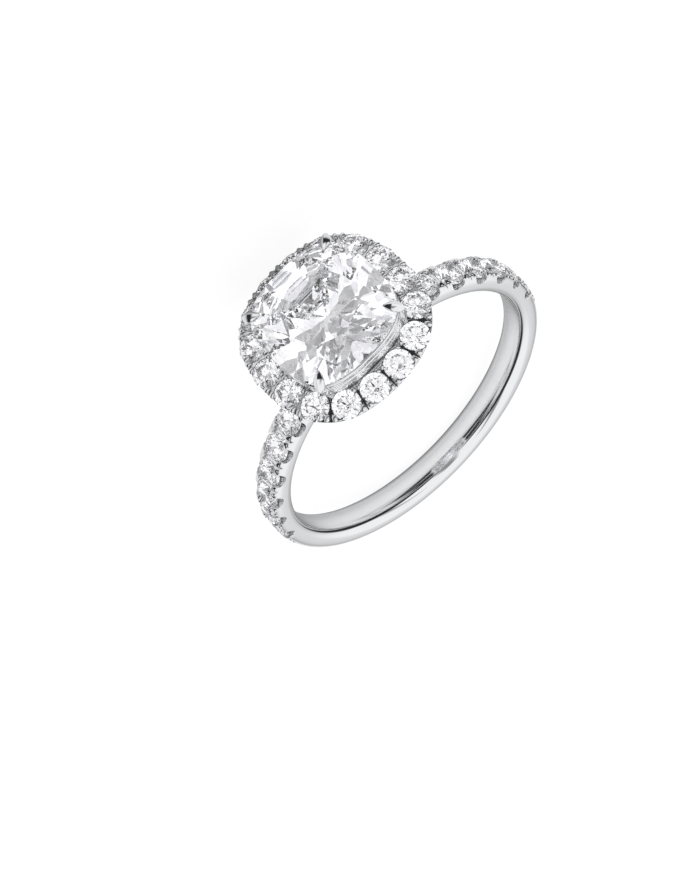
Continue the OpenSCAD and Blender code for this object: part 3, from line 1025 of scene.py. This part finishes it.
class RING_OT_studio(bpy.types.Operator):
    """Set up the floor, the soft light and the camera"""

    bl_idname = "ring.studio"
    bl_label = "Studio"

    # The camera's view of the upright ring: the way back to the camera, the right of the picture,
    # and the middle of the picture beside the centre of the finger hole, in radii of that hole
    VIEW_FROM = Vector((-0.04325, -0.44975, 0.89211))
    SCREEN_RIGHT = Vector((0.70330, -0.64569, -0.29742))
    AIM_RIGHT = 0.3212
    AIM_DOWN = -0.2286
    SENSOR_MM = 36
    FAR = 10
    # Light turns many times inside a cut stone before it comes out
    LIGHT_TURNS = 24
    LIGHT_SPREAD = math.radians(70)

    # The floor's grain: waves to a metre, and how much darker they make it
    GRAIN_WAVES = 300
    GRAIN_SHADE = 0.01
    FLOOR_ROUGHNESS = 0.5
    # Shares taken off the floor's colour: for the camera, because it glows there, and in
    # reflections where it is lit and where it isn't. The last is taken off all other glow
    LIT_FROM_BELOW = 0.91
    MIRRORED = 0.12
    UNLIT = 0.9
    GLOW_HIDDEN = 0.8
    # Where a reflection shows the floor lit: in the open, and in a pool of light round the ring
    CONTACT_REACH = 4 * MM
    CONTACT = (0.3, 0.95)
    POOL = (0.011, 0.042)
    POOL_SHADE = 0.85

    # Each pair below is the range over which a mask of the surroundings goes from 0 to 1. They
    # are read along a direction of length 1: z is up, and y is towards the head and the camera
    # Gaps between the tent's panels, in front and halfway up
    PANELS = 5
    PANEL_TURN = 0.6
    GAP = (-0.1, 1.0)
    PANEL_FOOT = (0.34, 0.42)
    PANEL_TOP = (0.93, 0.96)
    FRONT = (-0.1, 0.3)
    # The dark line low down, which rises to the front and to the sides
    HORIZON = (0.0, 0.2)
    FRONT_RISE = 0.25
    SIDE_RISE = 0.42
    # The soft grey low at the back
    BACK = (-0.4, 0.1)
    BACK_LOW = (0.0, 0.52)
    # The opening that the camera looks through, as the stones show it
    OPENING = (math.cos(math.radians(12)), math.cos(math.radians(9)))
    # Bright and shaded parts of what the stones show
    SHADE_WAVES = 2.2
    SHADE = (0.35, 0.65)
    GAP_TONE = (0.3, 0.3, 0.31)
    BACK_TONE = (0.56, 0.56, 0.57)
    DARK = (0.03, 0.03, 0.033)
    STONE_BRIGHT = (1.6, 1.6, 1.61)
    STONE_SHADE = (0.93, 0.93, 0.96)

    def execute(self, context):
        studio = context.scene.ring_studio
        self.camera(context, studio)
        self.floor(studio)
        self.lights(context, studio)
        self.world(context, studio)
        context.scene.view_settings.view_transform = "Standard"
        context.scene.cycles.max_bounces = self.LIGHT_TURNS
        context.scene.cycles.transmission_bounces = self.LIGHT_TURNS
        context.scene.cycles.glossy_bounces = self.LIGHT_TURNS
        return {"FINISHED"}

    def camera(self, context, studio):
        """The camera, placed by the view of the upright ring"""
        back = self.VIEW_FROM.normalized()
        right = (self.SCREEN_RIGHT - back * self.SCREEN_RIGHT.dot(back)).normalized()
        up = back.cross(right)
        data = bpy.data.cameras.new("camera")
        data.lens = studio.lens
        data.sensor_width = self.SENSOR_MM
        data.clip_end = self.FAR
        camera = bpy.data.objects.new("camera", data)
        at = back * studio.distance - right * self.AIM_RIGHT * HOLE_R + up * self.AIM_DOWN * HOLE_R
        turn = Matrix((right, up, back)).transposed().to_4x4()
        camera.matrix_world = lay_down() @ Matrix.Translation(at) @ turn
        context.scene.collection.objects.link(camera)
        context.scene.camera = camera

    def floor(self, studio):
        """A pale floor under the ring, lit from below for the camera and shaded in reflections"""
        bm = bmesh.new()
        bmesh.ops.create_grid(bm, x_segments=1, y_segments=1, size=studio.floor_half)
        floor = as_object(bm, "floor")
        bm.free()
        material = bpy.data.materials.new("pale_floor")
        shader = Shader(material)
        grain = shader.noise(self.GRAIN_WAVES, detail=3)
        pale = shader.blend(grain, opaque(studio.floor), darker(studio.floor, self.GRAIN_SHADE))
        where = shader.add("ShaderNodeTexCoord").outputs["Object"]
        away = shader.add("ShaderNodeVectorMath", {"operation": "LENGTH"}, {0: where}).outputs["Value"]
        in_open = shader.ramp(shader.open_air(self.CONTACT_REACH, samples=8), *self.CONTACT)
        lit = in_open * (1 - self.POOL_SHADE * shader.ramp(away, *self.POOL))
        mirrored = shader.blend(lit, darker(studio.floor, self.UNLIT), darker(studio.floor, self.MIRRORED))
        path = shader.add("ShaderNodeLightPath")
        seen = path.outputs["Is Camera Ray"]
        tone = shader.blend(path.outputs["Is Glossy Ray"], pale, mirrored)
        tone = shader.blend(seen, tone, darker(studio.floor, self.LIT_FROM_BELOW))
        glow = shader.blend(seen, darker(WHITE, self.GLOW_HIDDEN), opaque(WHITE))
        shader.surface({
            "Base Color": tone, "Roughness": self.FLOOR_ROUGHNESS, "Emission Color": glow,
            "Emission Strength": studio.floor_glow,
        })
        floor.data.materials.append(material)

    def lights(self, context, studio):
        """A wide soft light that keeps the floor pale and leaves the reflections to the tent"""
        data = bpy.data.lights.new("floor_light", "SUN")
        data.energy = studio.sun
        data.angle = self.LIGHT_SPREAD
        light = bpy.data.objects.new("floor_light", data)
        light.visible_camera = light.visible_glossy = light.visible_transmission = False
        context.scene.collection.objects.link(light)

    def world(self, context, studio):
        """A tent that the metal mirrors, a soft light that the stones pass on, and the backdrop"""
        world = bpy.data.worlds.new("studio_world")
        context.scene.world = world
        shader = Shader(world)
        where = shader.add("ShaderNodeTexCoord").outputs["Generated"]
        axes = shader.add("ShaderNodeSeparateXYZ", None, {0: where})
        x, y, z = [Number(shader, axes.outputs[k]) for k in range(3)]
        # The metal mirrors a white tent with these darker parts
        round_z = shader.math("ARCTAN2", y, x)
        gaps = shader.ramp(shader.math("SINE", round_z * self.PANELS + self.PANEL_TURN), *self.GAP)
        gaps = gaps * shader.ramp(z, *self.PANEL_FOOT) * (1 - shader.ramp(z, *self.PANEL_TOP))
        gaps = gaps * shader.ramp(y, *self.FRONT)
        rise = self.FRONT_RISE * y + self.SIDE_RISE * shader.math("ABSOLUTE", x)
        horizon = 1 - shader.ramp(z - rise, *self.HORIZON)
        low_back = (1 - shader.ramp(z, *self.BACK_LOW)) * (1 - shader.ramp(y, *self.BACK))
        tent = shader.blend(low_back, opaque(WHITE), opaque(self.BACK_TONE))
        panels = shader.blend(gaps, tent, opaque(self.GAP_TONE))
        mirrored = shader.blend(horizon, panels, opaque(self.DARK))
        # The stones pass on a soft light, and the dark opening behind the camera
        towards = (lay_down().to_3x3() @ self.VIEW_FROM).normalized()
        dot = shader.add("ShaderNodeVectorMath", {"operation": "DOT_PRODUCT"}, {0: where, 1: towards})
        opening = shader.ramp(Number(shader, dot.outputs["Value"]), *self.OPENING)
        shade = shader.ramp(shader.noise(self.SHADE_WAVES, detail=1, where=where), *self.SHADE)
        soft = shader.blend(shade, opaque(self.STONE_BRIGHT), opaque(self.STONE_SHADE))
        through = shader.blend(opening, soft, opaque(self.DARK))
        path = shader.add("ShaderNodeLightPath")
        tone = shader.blend(path.outputs["Is Transmission Ray"], mirrored, through)
        shown = shader.blend(path.outputs["Is Camera Ray"], tone, opaque(studio.backdrop))
        surface = shader.add("ShaderNodeBackground", None, {"Color": shown, "Strength": studio.fill})
        shader.add("ShaderNodeOutputWorld", None, {"Surface": surface.outputs[0]})


class RING_PT_sidebar(bpy.types.Panel):
    """Lists the ring's pieces and its studio"""

    bl_idname = "RING_PT_sidebar"
    bl_label = "Halo Ring"
    bl_space_type = "VIEW_3D"
    bl_region_type = "UI"
    bl_category = "Halo Ring"

    def draw(self, context):
        for step in STEPS:
            self.layout.operator(step.bl_idname)
        for group in ("ring_finish", "ring_studio"):
            settings = getattr(context.scene, group)
            for name in settings.__annotations__:
                self.layout.prop(settings, name)


GROUPS = {"ring_sizes": RingSizes, "ring_finish": RingFinish, "ring_studio": StudioSettings}
STEPS = [
    RING_OT_shank, RING_OT_shoulder_beads, RING_OT_halo, RING_OT_halo_beads, RING_OT_gallery,
    RING_OT_claws, RING_OT_centre_stone, RING_OT_small_stones, RING_OT_studio,
]


def register():
    """Registers the settings, the operators and the panel"""
    for cls in [*GROUPS.values(), *STEPS, RING_PT_sidebar]:
        bpy.utils.register_class(cls)
    for name, cls in GROUPS.items():
        setattr(bpy.types.Scene, name, PointerProperty(type=cls))


def unregister():
    """Takes away what register() added"""
    for name in GROUPS:
        delattr(bpy.types.Scene, name)
    for cls in reversed([*GROUPS.values(), *STEPS, RING_PT_sidebar]):
        bpy.utils.unregister_class(cls)


def main():
    """Builds every piece"""
    register()
    for step in STEPS:
        group, name = step.bl_idname.split(".")
        getattr(getattr(bpy.ops, group), name)()


if __name__ == "__main__":
    main()
